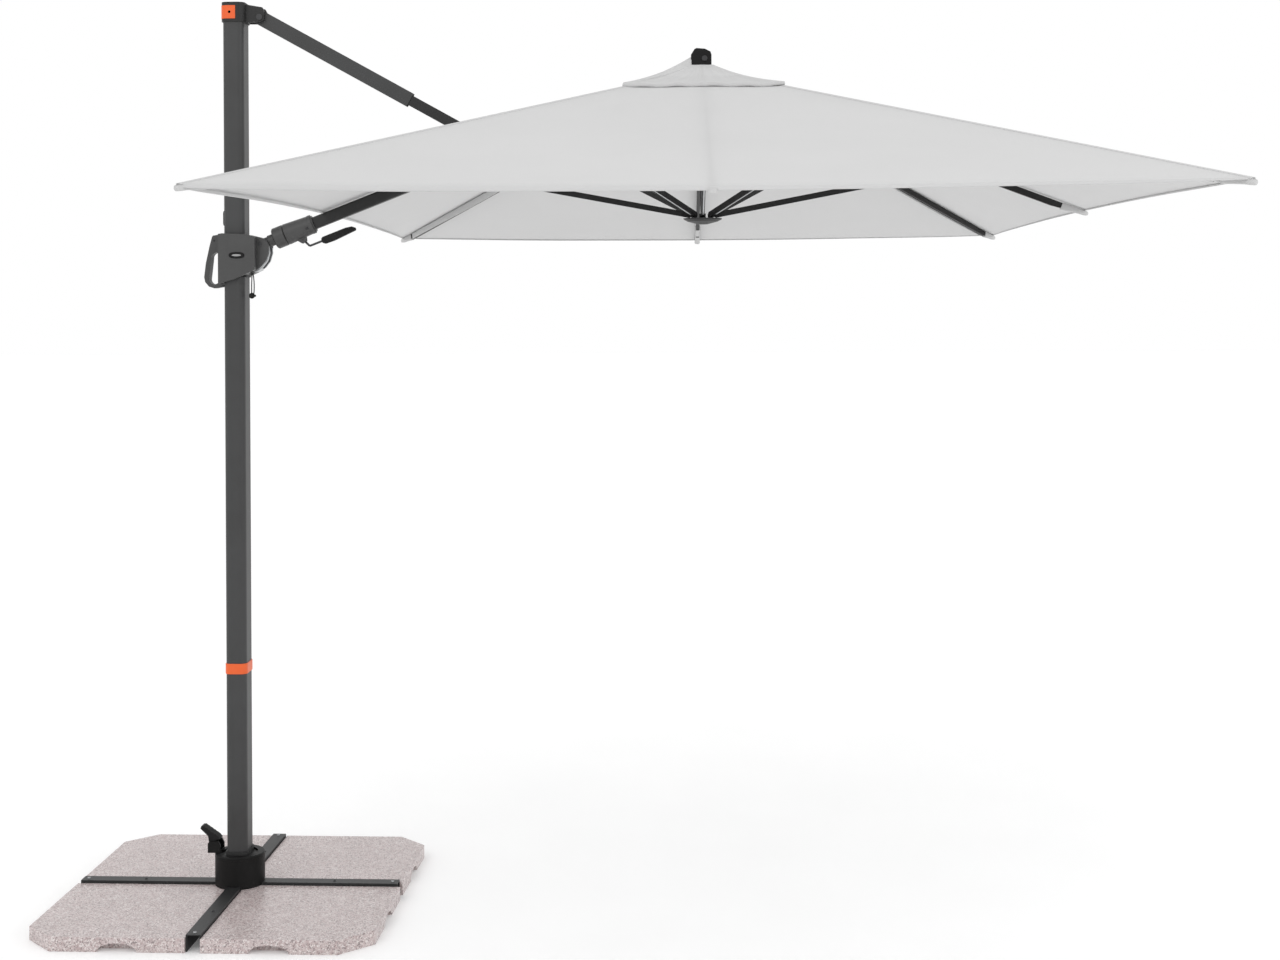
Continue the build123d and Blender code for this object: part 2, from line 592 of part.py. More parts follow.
with BuildPart() as tilt_lever:
    with BuildLine(ARM_SIDE):
        Polyline((LEVER_AT[0] + 1, LEVER_AT[1] - 3), (127, -56), (180, -56))
    with BuildSketch(Plane(origin=ARM_SIDE.from_local_coords((LEVER_AT[0] + 1, LEVER_AT[1] - 3, 0)),
                           z_dir=ARM_SIDE.x_dir * 10 - ARM_SIDE.y_dir * 20)):
        Circle(3.2)
    sweep(transition=Transition.ROUND)
    with BuildSketch(side_at(ARM_SIDE, 4.2)):
        with Locations(LEVER_AT):
            Circle(5)
    extrude(amount=8.4)
    with BuildSketch(side_at(ARM_SIDE, 8.8)):
        with Locations(LEVER_AT):
            Circle(2.5)
    extrude(amount=17.6)
save(tilt_lever, "tilt_lever")

with BuildPart() as tilt_grip:
    with BuildSketch(ARM_SIDE):
        with BuildLine():
            Polyline(
                (166, -50), (172, -46), (244, -46), (262, -49), (270, -56), (268, -63), (200, -68), (172, -67),
                (166, -62), close=True,
            )
        make_face()
    extrude(amount=9, both=True)
    fillet(tilt_grip.edges().filter_by(Axis.Y), 2)
    with BuildSketch(arm_section(160)):
        with Locations((0, -56)):
            Circle(3.2)
    extrude(amount=20, mode=Mode.SUBTRACT)
save(tilt_grip, "tilt_grip")

# ---------------------------------------------------------------- crown
CROWN = Plane(origin=(CROWN_X, 0, 0), x_dir=(1, 0, 0), z_dir=(0, -1, 0))


def crown_flat(z):
    return Plane(origin=(CROWN_X, 0, z), x_dir=(1, 0, 0), z_dir=(0, 0, 1))


def radial(azimuth, t=0.0):
    """Side plane through the crown axis: local x is outward, local y is world z."""
    c, s = math.cos(rad(azimuth)), math.sin(rad(azimuth))
    return Plane(origin=(CROWN_X - t * s, t * c, 0), x_dir=(c, s, 0), z_dir=(s, -c, 0))


with BuildPart() as crown_hub:
    with BuildSketch(crown_flat(RIB_Z - 15)):
        Circle(54)
        with Locations((-31, 0)):
            Rectangle(98, 33, mode=Mode.SUBTRACT)
    extrude(amount=30)
    for y in (24, -17):
        with BuildSketch(side_at(CROWN, y)):
            with BuildLine():
                Polyline((-20, RIB_Z + 10), (21, RIB_Z + 10), (21, 2433), (-8, 2433), (-18, 2419), close=True)
            make_face()
        extrude(amount=7)
    with BuildSketch(side_at(CROWN, 40)):
        with Locations((0, ARM_END_Z)):
            Circle(6)
        with Locations((BUTTON_X - CROWN_X, BUTTON_Z)):
            Circle(4)
    extrude(amount=80, mode=Mode.SUBTRACT)
    for _, _, azimuth in RIBS:
        with BuildSketch(radial(azimuth)):
            with Locations((RIB_R + 4, RIB_Z)):
                Rectangle(30, 34)
        extrude(amount=RIB_W / 2 + 0.4, both=True, mode=Mode.SUBTRACT)
        with BuildSketch(radial(azimuth)):
            with Locations((RIB_R, RIB_Z)):
                Circle(3.5 + CLEAR)
        extrude(amount=10.5, both=True, mode=Mode.SUBTRACT)
save(crown_hub, "crown_hub")

with BuildPart() as crown_pin:
    disc(6, Plane.XZ.offset(-24), 48, at=(CROWN_X, ARM_END_Z))
save(crown_pin, "crown_pin")

CAP_OUTLINE = [(-32, 2403), (-32, 2433), (-22, 2449), (-16, 2452), (8, 2450), (24, 2442), (27, 2433), (27, 2400)]
with BuildPart() as crown_cap:
    plate(CAP_OUTLINE, CROWN, 30, both=True)
    fillet(crown_cap.faces().sort_by(Axis.Y)[0].edges() + crown_cap.faces().sort_by(Axis.Y)[-1].edges(), 3)
    plate([(-27.5, 2381), (-27.5, 2431), (-18, 2444), (7, 2444.5), (22.5, 2438), (22.5, 2381)], CROWN, 24.3,
          mode=Mode.SUBTRACT, both=True)
    plate([(-60, 2381), (-60, 2415), (-20, 2431), (0, 2431), (0, 2381)], CROWN, 16.8, mode=Mode.SUBTRACT, both=True)
    disc(4, Plane.XZ.offset(-40), 80, mode=Mode.SUBTRACT, at=(BUTTON_X, BUTTON_Z))
save(crown_cap, "crown_cap")

with BuildPart() as cap_bolt:
    disc(4, Plane.XZ.offset(-31), 62, at=(BUTTON_X, BUTTON_Z))
    disc(8.5, Plane.XZ.offset(30), 3, at=(BUTTON_X, BUTTON_Z))
    chamfer(cap_bolt.faces().sort_by(Axis.Y)[0].edges(), 1)
save(cap_bolt, "cap_bolt")


# ---------------------------------------------------------------- ribs and stretchers
def rib_plane(kind, azimuth):
    c, s = math.cos(rad(azimuth)), math.sin(rad(azimuth))
    a = rib_slope(kind)
    origin = (CROWN_X + RIB_R * c, RIB_R * s, RIB_Z)
    return Plane(origin=origin, x_dir=(c * math.cos(a), s * math.cos(a), -math.sin(a)), z_dir=(s, -c, 0))


def rib(label, kind, azimuth):
    plane = rib_plane(kind, azimuth)
    end = RIB_ENDS[kind]
    length = math.hypot(end[0] - RIB_R, RIB_Z - end[1])
    at = REACH[kind]
    with BuildPart() as bar:
        with BuildSketch(plane):
            Circle(RIB_H / 2)
            with Locations((length / 2, 0)):
                Rectangle(length, RIB_H)
        extrude(amount=RIB_W / 2, both=True)
        with BuildSketch(plane):
            with Locations(((length + 30) / 2, 0)):
                Rectangle(length - 30, RIB_H - 3)
        extrude(amount=RIB_W / 2 - 1.5, both=True, mode=Mode.SUBTRACT)
        with BuildSketch(plane):
            with BuildLine():
                Polyline(
                    (length - RIB_MITRE, -RIB_H / 2), (length + 1, -RIB_H / 2), (length + 1, 1.5), close=True,
                )
            make_face()
        extrude(amount=RIB_W, both=True, mode=Mode.SUBTRACT)
        with BuildSketch(plane):
            Circle(3.5)
        extrude(amount=10.3, both=True)
        with BuildSketch(plane):
            with BuildLine():
                Polyline(
                    (at - 18, -RIB_H / 2), (at + 18, -RIB_H / 2), (at + 7, -LUG_DROP - 5), (at - 7, -LUG_DROP - 5),
                    close=True,
                )
            make_face()
        extrude(amount=8.4, both=True)
        with BuildSketch(plane):
            with Locations((at, -LUG_DROP - 2)):
                Rectangle(60, 26)
        extrude(amount=BAR_W / 2 + 0.4, both=True, mode=Mode.SUBTRACT)
        with BuildSketch(plane):
            with Locations((at, -LUG_DROP)):
                Circle(3 + CLEAR)
        extrude(amount=9, both=True, mode=Mode.SUBTRACT)
    save(bar, label)


def stretcher(label, outer, azimuth):
    """A grooved bar from outer, an (r, z) point, to its seat on the lower hub."""
    c, s = math.cos(rad(azimuth)), math.sin(rad(azimuth))
    length = math.hypot(outer[0] - TIP_R, outer[1] - TIP_Z)
    cr, cz = (TIP_R - outer[0]) / length, (TIP_Z - outer[1]) / length
    origin = (CROWN_X + outer[0] * c, outer[0] * s, outer[1])
    plane = Plane(origin=origin, x_dir=(cr * c, cr * s, cz), z_dir=(-s, c, 0))
    with BuildPart() as bar:
        with BuildSketch(plane):
            with Locations((0, 0), (length, 0)):
                Circle(BAR_H / 2)
            with Locations((length / 2, 0)):
                Rectangle(length, BAR_H)
        extrude(amount=BAR_W / 2, both=True)
        with BuildSketch(plane):
            with Locations((length / 2, -BAR_H / 2 + 5)):
                Rectangle(length - 44, 12)
        extrude(amount=BAR_W / 2 - 1.8, both=True, mode=Mode.SUBTRACT)
        with BuildSketch(plane):
            Circle(3)
        extrude(amount=8.2, both=True)
        if label == "stretcher_back":
            with BuildSketch(plane):
                with Locations((length, 0)):
                    Circle(3)
            extrude(amount=9.6, both=True)
    save(bar, label)


for name, kind, azimuth in RIBS:
    rib(name, kind, azimuth)
    stretcher(name.replace("rib", "stretcher"), lug_point(kind, REACH[kind]), azimuth)
stretcher("stretcher_arm", arm_lug(ARM_LUG_BACK), 180)

with BuildPart() as lower_hub:
    with BuildSketch(CROWN):
        with BuildLine():
            Polyline(
                (0, TIP_Z - 27), (14, TIP_Z - 27), (44, TIP_Z - 19), (55, TIP_Z - 13), (56, TIP_Z - 10), (0, TIP_Z - 10),
                close=True,
            )
        make_face()
    revolve(axis=Axis((CROWN_X, 0, 0), (0, 0, 1)))
    for t in (9.6, -5.2):
        with BuildSketch(radial(90, t)):
            with BuildLine():
                Polyline((TIP_R - 9, TIP_Z - 11), (TIP_R + 9, TIP_Z - 11), (TIP_R + 5, TIP_Z + 6), (TIP_R - 5, TIP_Z + 6),
                         close=True)
            make_face()
            with Locations((TIP_R, TIP_Z)):
                Circle(3 + CLEAR, mode=Mode.SUBTRACT)
        extrude(amount=4.4)
save(lower_hub, "lower_hub")

# ---------------------------------------------------------------- covers
APEX = 2394
EDGE = [
    (HALF_X, 0, EDGE_SIDE), (HALF_X, HALF_Y, EDGE_CORNER), (0, HALF_Y, EDGE_FRONT), (-HALF_X, HALF_Y, EDGE_CORNER),
    (-HALF_X, 0, EDGE_ARM), (-HALF_X, -HALF_Y, EDGE_CORNER), (0, -HALF_Y, EDGE_FRONT), (HALF_X, -HALF_Y, EDGE_CORNER),
]


def ring(share, lift=0.0):
    """The eight points of the cover over the ribs, at a share of the way out from the crown."""
    points = []
    for x, y, z in EDGE:
        top = 2423 if (x < 0 and y == 0) else APEX
        points.append((CROWN_X + share * x, share * y, top + (z - top) * share + lift))
    return points


def skin(inner, outer, thick):
    """A closed skin between two rings of eight points, as triangles."""
    faces = []

    def tri(*p):
        faces.append(Face(Wire.make_polygon([Vector(*q) for q in p], close=True)))

    low = lambda q: (q[0], q[1], q[2] - thick)
    for i in range(8):
        k = (i + 1) % 8
        a, b, c, d = inner[i], inner[k], outer[k], outer[i]
        if i == 3:
            tri(a, d, c)
            tri(a, c, b)
            tri(low(a), low(c), low(d))
            tri(low(a), low(b), low(c))
        else:
            tri(a, d, b)
            tri(b, d, c)
            tri(low(a), low(b), low(d))
            tri(low(b), low(c), low(d))
        tri(a, b, low(b))
        tri(a, low(b), low(a))
        tri(d, low(c), c)
        tri(d, low(d), low(c))
    return Solid(Shell(faces))


with BuildPart() as canopy:
    add(skin(ring(0.1), ring(1.0), 2.0))
    with BuildSketch(Plane(origin=(0, 0, 1900), x_dir=(1, 0, 0), z_dir=(0, 0, 1))):
        with Locations((JOINT_X, 0)):
            Rectangle(140, 76)
    extrude(amount=400, mode=Mode.SUBTRACT)
save(canopy, "canopy")

with BuildPart() as vent_cap:
    centre = []
    for x, y, _ in EDGE:
        reach = math.hypot(x, y)
        centre.append((CROWN_X + 49 * x / reach, 49 * y / reach, 2411 if reach == HALF_X and x < 0 else 2402))
    add(skin(centre, ring(0.2, 8.0), 2.0))
save(vent_cap, "vent_cap")
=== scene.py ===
"""Looks of the cantilever parasol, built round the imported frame. Metres, +Z up, the mast axis at x = y = 0."""
import math

import bmesh
import bpy
from mathutils import Matrix, Vector


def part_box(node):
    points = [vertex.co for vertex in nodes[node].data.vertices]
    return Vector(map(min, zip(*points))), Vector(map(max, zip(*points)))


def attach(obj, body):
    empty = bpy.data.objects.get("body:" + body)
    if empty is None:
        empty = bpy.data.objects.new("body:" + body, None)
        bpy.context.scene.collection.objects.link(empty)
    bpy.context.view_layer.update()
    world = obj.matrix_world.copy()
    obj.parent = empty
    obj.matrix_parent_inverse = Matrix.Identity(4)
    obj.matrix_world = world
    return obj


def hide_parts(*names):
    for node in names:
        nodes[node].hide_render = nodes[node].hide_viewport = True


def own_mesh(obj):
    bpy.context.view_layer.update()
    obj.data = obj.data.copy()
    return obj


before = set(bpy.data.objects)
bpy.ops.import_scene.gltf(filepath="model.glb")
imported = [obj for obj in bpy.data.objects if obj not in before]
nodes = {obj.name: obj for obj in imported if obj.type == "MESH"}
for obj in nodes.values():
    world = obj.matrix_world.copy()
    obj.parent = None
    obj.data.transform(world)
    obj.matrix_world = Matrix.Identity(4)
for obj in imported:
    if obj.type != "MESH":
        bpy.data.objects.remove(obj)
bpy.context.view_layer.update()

# ---------------------------------------------------------------- sizes shared with the solids
CROWN_X = 1.353
HALF_X, HALF_Y = 1.100, 1.540           # the cover's half sizes along the arm and across it
APEX, ARM_APEX = 2.394, 2.423           # where the ribs' and the arm's lines meet the crown's axis
FOOT_TURN = math.radians(-1.75)
# Where the cover ends over each rib, from the crown's axis and the ground. The fifth is over the arm.
EDGES = [
    (HALF_X, 0.0, 1.983), (HALF_X, HALF_Y, 1.968), (0.0, HALF_Y, 1.957), (-HALF_X, HALF_Y, 1.968),
    (-HALF_X, 0.0, 1.991), (-HALF_X, -HALF_Y, 1.968), (0.0, -HALF_Y, 1.957), (HALF_X, -HALF_Y, 1.968),
]
RIB_BODIES = [
    "rib_side", "rib_back_right", "rib_back", "rib_back_left",
    "arm", "rib_front_left", "rib_front", "rib_front_right",
]


# ---------------------------------------------------------------- materials
class Nodes:
    """A short way to write a node tree."""

    def __init__(self, name):
        self.mat = bpy.data.materials.new(name)
        self.mat.use_nodes = True
        self.tree = self.mat.node_tree
        self.tree.nodes.clear()
        self.coord = self.add("ShaderNodeTexCoord")

    def add(self, kind, **values):
        node = self.tree.nodes.new(kind)
        for key, value in values.items():
            if key in node.inputs:
                self.set(node, key, value)
            else:
                setattr(node, key, value)
        return node

    def set(self, node, key, value):
        if isinstance(value, bpy.types.NodeSocket):
            self.tree.links.new(value, node.inputs[key])
        else:
            node.inputs[key].default_value = value

    def noise(self, scale, detail=4.0, rough=0.6, vector=None):
        return self.add(
            "ShaderNodeTexNoise", Vector=vector or self.coord.outputs["Object"], Scale=scale, Detail=detail,
            Roughness=rough,
        ).outputs["Fac"]

    def ramp(self, fac, stops):
        node = self.add("ShaderNodeValToRGB", Fac=fac)
        ramp = node.color_ramp
        while len(ramp.elements) < len(stops):
            ramp.elements.new(0.5)
        for element, (at, colour) in zip(ramp.elements, stops):
            element.position = at
            element.color = rgba(colour)
        return node.outputs["Color"]

    def mix(self, fac, a, b):
        node = self.add("ShaderNodeMix", data_type="RGBA")
        self.set(node, 0, fac)
        self.set(node, 6, a)
        self.set(node, 7, b)
        return node.outputs[2]

    def math(self, op, a, b=0.0):
        node = self.add("ShaderNodeMath", operation=op)
        self.set(node, 0, a)
        self.set(node, 1, b)
        return node.outputs[0]

    def bump(self, height, strength, distance=0.001, normal=None):
        node = self.add("ShaderNodeBump", Height=height, Strength=strength, Distance=distance)
        if normal is not None:
            self.set(node, "Normal", normal)
        return node.outputs["Normal"]

    def surface(self, colour, rough, normal=None, metal=0.0, **extra):
        shader = self.add("ShaderNodeBsdfPrincipled", Roughness=rough, Metallic=metal, **extra)
        self.set(shader, "Base Color", colour)
        if normal is not None:
            self.set(shader, "Normal", normal)
        return shader.outputs["BSDF"]

    def finish(self, shader):
        out = self.add("ShaderNodeOutputMaterial")
        self.tree.links.new(shader, out.inputs["Surface"])
        return self.mat


def grey(v):
    return (v, v, v)


def rgba(c):
    return (*c, 1.0)


def powder_coat(name, dark, light, gloss=0.4):
    """Fine-textured powder coat, a little lighter where it is rubbed."""
    n = Nodes(name)
    grain = n.noise(900, 3)
    cloud = n.noise(6, 3)
    colour = n.ramp(cloud, [(0.3, dark), (0.75, light)])
    wear = n.ramp(n.noise(70, 5, 0.7), [(0.70, grey(0.0)), (0.78, grey(0.25))])
    colour = n.mix(wear, colour, rgba(tuple(min(1, 1.6 * v) for v in light)))
    rough = n.ramp(grain, [(0.2, grey(0.38)), (0.8, grey(0.55))])
    return n.finish(n.surface(colour, rough, n.bump(grain, 0.2, 0.0003), **{"Specular IOR Level": gloss}))


def moulded(name, dark, light, rough=(0.42, 0.62), grain_scale=700, strength=0.25, gloss=0.4):
    """Moulded plastic with a fine spark-eroded grain."""
    n = Nodes(name)
    grain = n.noise(grain_scale, 2)
    colour = n.ramp(n.noise(12, 4), [(0.3, dark), (0.8, light)])
    r = n.ramp(grain, [(0.3, grey(rough[0])), (0.7, grey(rough[1]))])
    return n.finish(n.surface(colour, r, n.bump(grain, strength, 0.0003), **{"Specular IOR Level": gloss}))


def granite():
    """Polished, finely speckled granite: a light rose ground with dark, white and rose grains."""
    n = Nodes("granite")
    fine = n.add("ShaderNodeTexVoronoi", Vector=n.coord.outputs["Object"], Scale=330.0)
    coarse = n.add("ShaderNodeTexVoronoi", Vector=n.coord.outputs["Object"], Scale=190.0)
    ground = n.ramp(n.noise(9, 5), [(0.3, (0.47, 0.395, 0.39)), (0.75, (0.56, 0.475, 0.47))])
    pick = n.add("ShaderNodeSeparateColor", Color=fine.outputs["Color"])
    dark = n.ramp(pick.outputs[0], [(0.74, grey(0.0)), (0.78, grey(1.0))])
    colour = n.mix(n.math("MULTIPLY", dark, 0.78), ground, rgba((0.19, 0.155, 0.155)))
    light = n.ramp(pick.outputs[1], [(0.70, grey(0.0)), (0.74, grey(1.0))])
    colour = n.mix(n.math("MULTIPLY", light, 0.6), colour, rgba((0.80, 0.76, 0.74)))
    rose_pick = n.add("ShaderNodeSeparateColor", Color=coarse.outputs["Color"])
    rose = n.ramp(rose_pick.outputs[2], [(0.74, grey(0.0)), (0.78, grey(1.0))])
    colour = n.mix(n.math("MULTIPLY", rose, 0.35), colour, rgba((0.36, 0.25, 0.245)))
    rough = n.ramp(n.noise(40, 4), [(0.3, grey(0.24)), (0.7, grey(0.36))])
    normal = n.bump(fine.outputs["Distance"], 0.12, 0.0005)
    normal = n.bump(n.noise(30, 4), 0.1, 0.0015, normal)
    return n.finish(n.surface(colour, rough, normal, **{"Specular IOR Level": 0.4}))


def threads(n, direction):
    return n.add(
        "ShaderNodeTexWave", Vector=n.coord.outputs["Object"], Scale=420.0, Distortion=0.4,
        bands_direction=direction,
    ).outputs["Fac"]


def cloth(name, light, dark, through):
    """Dense plain weave that lets a share of the light through."""
    n = Nodes(name)
    weave = n.math("MULTIPLY", threads(n, "X"), threads(n, "Y"))
    slub = n.noise(90, 6, 0.7)
    cloud = n.noise(2.2, 3)
    colour = n.ramp(cloud, [(0.25, dark), (0.8, light)])
    colour = n.mix(n.math("MULTIPLY", weave, 0.10), colour, rgba(tuple(0.8 * v for v in dark)))
    colour = n.mix(n.math("MULTIPLY", slub, 0.06), colour, rgba(tuple(0.9 * v for v in dark)))
    normal = n.bump(weave, 0.25, 0.0003)
    normal = n.bump(n.noise(9, 3), 0.10, 0.004, normal)
    face = n.surface(colour, 0.9, normal, **{"Sheen Weight": 0.15, "Sheen Roughness": 0.5})
    glow = n.add("ShaderNodeBsdfTranslucent", Color=colour)
    mixed = n.add("ShaderNodeMixShader", Fac=through)
    n.tree.links.new(face, mixed.inputs[1])
    n.tree.links.new(glow.outputs[0], mixed.inputs[2])
    return n.finish(mixed.outputs[0])


def metal(name, colour, rough):
    """Brushed or turned metal."""
    n = Nodes(name)
    v = n.add("ShaderNodeMapping", Vector=n.coord.outputs["Object"], Scale=(1, 1, 60)).outputs["Vector"]
    brush = n.noise(120, 4, 0.6, v)
    c = n.ramp(brush, [(0.3, tuple(0.8 * x for x in colour)), (0.7, colour)])
    r = n.ramp(brush, [(0.3, grey(rough * 0.8)), (0.7, grey(rough * 1.3))])
    return n.finish(n.surface(c, r, n.bump(brush, 0.1, 0.0003), metal=1.0))


FRAME_COAT = powder_coat("anthracite_coat", grey(0.036), (0.046, 0.047, 0.048))
ARM_COAT = powder_coat("arm_coat", grey(0.018), grey(0.026), 0.3)
BEAM_COAT = powder_coat("beam_coat", grey(0.014), (0.022, 0.023, 0.024), 0.35)
RIB_COAT = powder_coat("rib_coat", grey(0.010), grey(0.018), 0.25)
BLACK = moulded("black_moulded", grey(0.005), grey(0.009), gloss=0.2)
SOFT_BLACK = moulded("soft_black", grey(0.008), grey(0.013), (0.55, 0.75), 400, gloss=0.25)
GREY = moulded("slate_moulded", grey(0.050), grey(0.062), (0.38, 0.5))
DARK_GREY = moulded("dark_slate_moulded", grey(0.020), grey(0.028), gloss=0.3)
ORANGE = moulded("orange_moulded", (0.74, 0.105, 0.018), (0.82, 0.135, 0.026), (0.35, 0.45), 500, 0.12)
RUBBER = moulded("rubber", grey(0.006), grey(0.010), (0.6, 0.8), 300, gloss=0.2)
LABEL = moulded("label_lacquer", grey(0.30), grey(0.34), (0.25, 0.3), 200, 0.05)
GRANITE = granite()
CANOPY = cloth("canopy_cloth", grey(0.605), grey(0.58), 0.12)
HEM = cloth("hem_cloth", grey(0.62), grey(0.58), 0.10)
POCKET = cloth("pocket_cloth", grey(0.56), grey(0.52), 0.05)
STEEL = metal("turned_steel", (0.45, 0.46, 0.47), 0.3)
DARK_STEEL = metal("blackened_steel", (0.07, 0.07, 0.072), 0.35)
ALU = metal("brushed_aluminium", (0.52, 0.53, 0.54), 0.33)
CORD = moulded("braided_cord", grey(0.006), grey(0.014), (0.7, 0.9), 1500, 0.05, 0.2)

PAINT = {
    "cross_beam_x": BEAM_COAT, "cross_beam_front": BEAM_COAT, "cross_beam_back": BEAM_COAT,
    "mount_plate": FRAME_COAT, "base_sleeve": BLACK, "pedal_bracket": BLACK, "foot_pedal": SOFT_BLACK,
    "mast_foot": DARK_GREY, "swivel_bush": BLACK, "mast_lower": FRAME_COAT, "mast_upper": FRAME_COAT,
    "joint_band": ORANGE, "top_bracket": DARK_GREY, "top_clip": ORANGE, "strut_pin": DARK_STEEL,
    "strut_tube": FRAME_COAT, "strut_fork": ARM_COAT, "fork_pin": STEEL, "arm_collar": DARK_GREY,
    "knuckle": GREY, "slider_frame": ALU, "cover_front": GREY, "cover_back": GREY, "guide_liner": BLACK,
    "hinge_pin": DARK_STEEL, "release_trigger": DARK_GREY, "safety_pin": BLACK, "arm_tube": ARM_COAT,
    "arm_bush": BLACK, "barrel_front": GREY, "arm_end": DARK_GREY, "tilt_lever": DARK_STEEL,
    "tilt_grip": SOFT_BLACK, "crown_hub": DARK_GREY, "crown_pin": DARK_STEEL, "crown_cap": BLACK,
    "cap_bolt": DARK_STEEL, "lower_hub": DARK_GREY, "lanyard": CORD, "canopy": CANOPY, "vent_cap": CANOPY,
}
for name, node in nodes.items():    # the nodes that PAINT leaves out are ribs and stretchers
    material = GRANITE if name.startswith("slab_") else PAINT.get(name, RIB_COAT)
    node.data.materials.clear()
    node.data.materials.append(material)


# ---------------------------------------------------------------- pieces
CRISP_ANGLE = math.radians(35)


def piece(name, verts, faces, material, body):
    """A smooth-shaded mesh that rides on a body. Points that no face uses are left out."""
    used = sorted({k for face in faces for k in face})
    place = {k: n for n, k in enumerate(used)}
    mesh = bpy.data.meshes.new(name)
    mesh.from_pydata([tuple(verts[k]) for k in used], [], [[place[k] for k in face] for face in faces])
    mesh.validate()
    mesh.materials.append(material)
    for polygon in mesh.polygons:
        polygon.use_smooth = True
    obj = bpy.data.objects.new(name, mesh)
    bpy.context.scene.collection.objects.link(obj)
    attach(obj, body)
    return obj


def face_out(obj):
    """Turn a closed piece's faces outwards."""
    work = bmesh.new()
    work.from_mesh(obj.data)
    bmesh.ops.remove_doubles(work, verts=work.verts, dist=1e-6)
    bmesh.ops.recalc_face_normals(work, faces=work.faces)
    work.to_mesh(obj.data)
    work.free()


def loft(name, rings, material, body):
    """A closed piece through rings of points, capped at both ends, with its sharper edges kept crisp."""
    count = len(rings[0])
    verts = [p for ring in rings for p in ring]
    faces = []
    for r in range(len(rings) - 1):
        for c in range(count):
            a, b = r * count + c, r * count + (c + 1) % count
            faces.append((a, b, b + count, a + count))
    faces.append(tuple(range(count)))
    faces.append(tuple(range((len(rings) - 1) * count, len(rings) * count)))
    obj = piece(name, verts, faces, material, body)
    face_out(obj)
    obj.data.set_sharp_from_angle(angle=CRISP_ANGLE)


def round_angles(count):
    return [2 * math.pi * k / count for k in range(count)]


def screw(name, centre, axis, radius, material, body):
    """A domed screw head with a socket in it, turned about an axis. Its underside is sunk a little."""
    axis = Vector(axis).normalized()
    u = axis.orthogonal().normalized()
    v = axis.cross(u)
    sunk = -0.001 / radius
    rings = []
    for out, height in [
        (0.35, sunk), (1, sunk), (1, 0.25), (0.93, 0.42), (0.72, 0.56),
        (0.50, 0.62), (0.44, 0.60), (0.40, 0.20), (0.02, 0.14),
    ]:
        middle = Vector(centre) + axis * (height * radius)
        rings.append([
            middle + (u * math.cos(angle) + v * math.sin(angle)) * (out * radius) for angle in round_angles(32)
        ])
    loft(name, rings, material, body)


def rounded(half_u, half_v, radius, steps=4):
    """The outline of a rounded rectangle, as (u, v) pairs."""
    points = []
    radius = min(radius, half_u * 0.98, half_v * 0.98)
    for k, (cu, cv) in enumerate([(1, 1), (-1, 1), (-1, -1), (1, -1)]):
        for j in range(steps + 1):
            angle = (k + j / steps) * math.pi / 2
            points.append((cu * (half_u - radius) + radius * math.cos(angle),
                           cv * (half_v - radius) + radius * math.sin(angle)))
    return points


# ---------------------------------------------------------------- canopy
CORNER_RIBS = (1, 3, 5, 7)
ROWS = 40
INNER_SHARE = 0.1       # where the cover starts under the vent cap
CORNER_SHARE = 0.16     # how much of the cover beside a corner rib gathers on that rib
MIDDLE_COLUMNS, CORNER_COLUMNS, STRIP_COLUMNS = 20, 6, 3
CROWDING = 1.3          # the columns stand closer together near a rib
SLACK = 0.004           # how far the cover sags between ribs
PUCKER = 0.0009

HEM_DEEP, HEM_SHALLOW = 0.014, 0.006
# The turned edge, as (out, share of the hem's depth): out and down over the edge, and a little way
# back up inside.
HEM_STEPS = [(0.0016, 0.15), (0.0026, 0.5), (0.0022, 0.88), (0.0006, 1.0), (-0.0014, 0.9), (-0.0020, 0.45)]

ARM_STRIP = 0.0375                      # half the width of the cover's strip over the arm
ARM_SLIT = (0.648, 0.740)               # the slit for the arm's knee, along x


def rib_line(i, share):
    """A point of the cover right over rib i, at a share of the way from the crown to the edge."""
    x, y, z = EDGES[i % 8]
    top = ARM_APEX if i % 8 == 4 else APEX
    return Vector((CROWN_X + share * x, share * y, top + (z - top) * share))


def side_place(i, t):
    """The middle rib of the side that holds a place t of the way from rib i to the next, and how far
    the place is from that rib towards a corner, -1 to 1."""
    return (i % 8, t) if i % 2 == 0 else ((i + 1) % 8, t - 1.0)


def cloth_point(i, t, share, lift=0.0):
    """A point of the cover between rib i and rib i + 1. Each side of the cover follows one smooth
    surface from corner to corner, passing over the middle rib without a crease."""
    middle, u = side_place(i, t)
    a, m, b = rib_line(middle - 1, share), rib_line(middle, share), rib_line(middle + 1, share)
    p = a * (u * (u - 1) / 2) + m * (1 - u * u) + b * (u * (u + 1) / 2)
    sag = math.sin(math.pi * min(1.0, share)) * 4 * u * u * (1 - u * u)
    p.z += lift - SLACK * sag
    p.z += PUCKER * share * math.sin(9.0 * share + 2.3 * middle) * math.sin(3 * math.pi * u) * abs(u)
    return p


def edge_out(i, t):
    """The level direction out of the cover's edge, and how far the hem hangs there."""
    middle, u = side_place(i, t)
    x, y, _ = EDGES[middle]
    out = Vector((x, y, 0)).normalized()
    p = cloth_point(i, t, 1.0)
    along = (p.x - (CROWN_X - HALF_X)) / (2 * HALF_X)
    near_corner = 1.0 - 0.35 * abs(u) ** 8
    towards_back = 0.65 - 0.35 * p.y / HALF_Y
    return out, (HEM_DEEP + (HEM_SHALLOW - HEM_DEEP) * along) * near_corner * towards_back


def beside(i, way, columns):
    """Columns of cloth beside rib i, from the rib outwards, closer together near it."""
    reach = CORNER_SHARE if i % 2 else 1 - CORNER_SHARE
    steps = [reach * (c / columns) ** CROWDING for c in range(columns + 1)]
    return [(i, t) for t in steps] if way > 0 else [(i - 1, 1.0 - t) for t in steps]


def across(i, columns):
    """Columns of cloth on both sides of rib i."""
    return beside(i, -1, columns)[:0:-1] + beside(i, 1, columns)


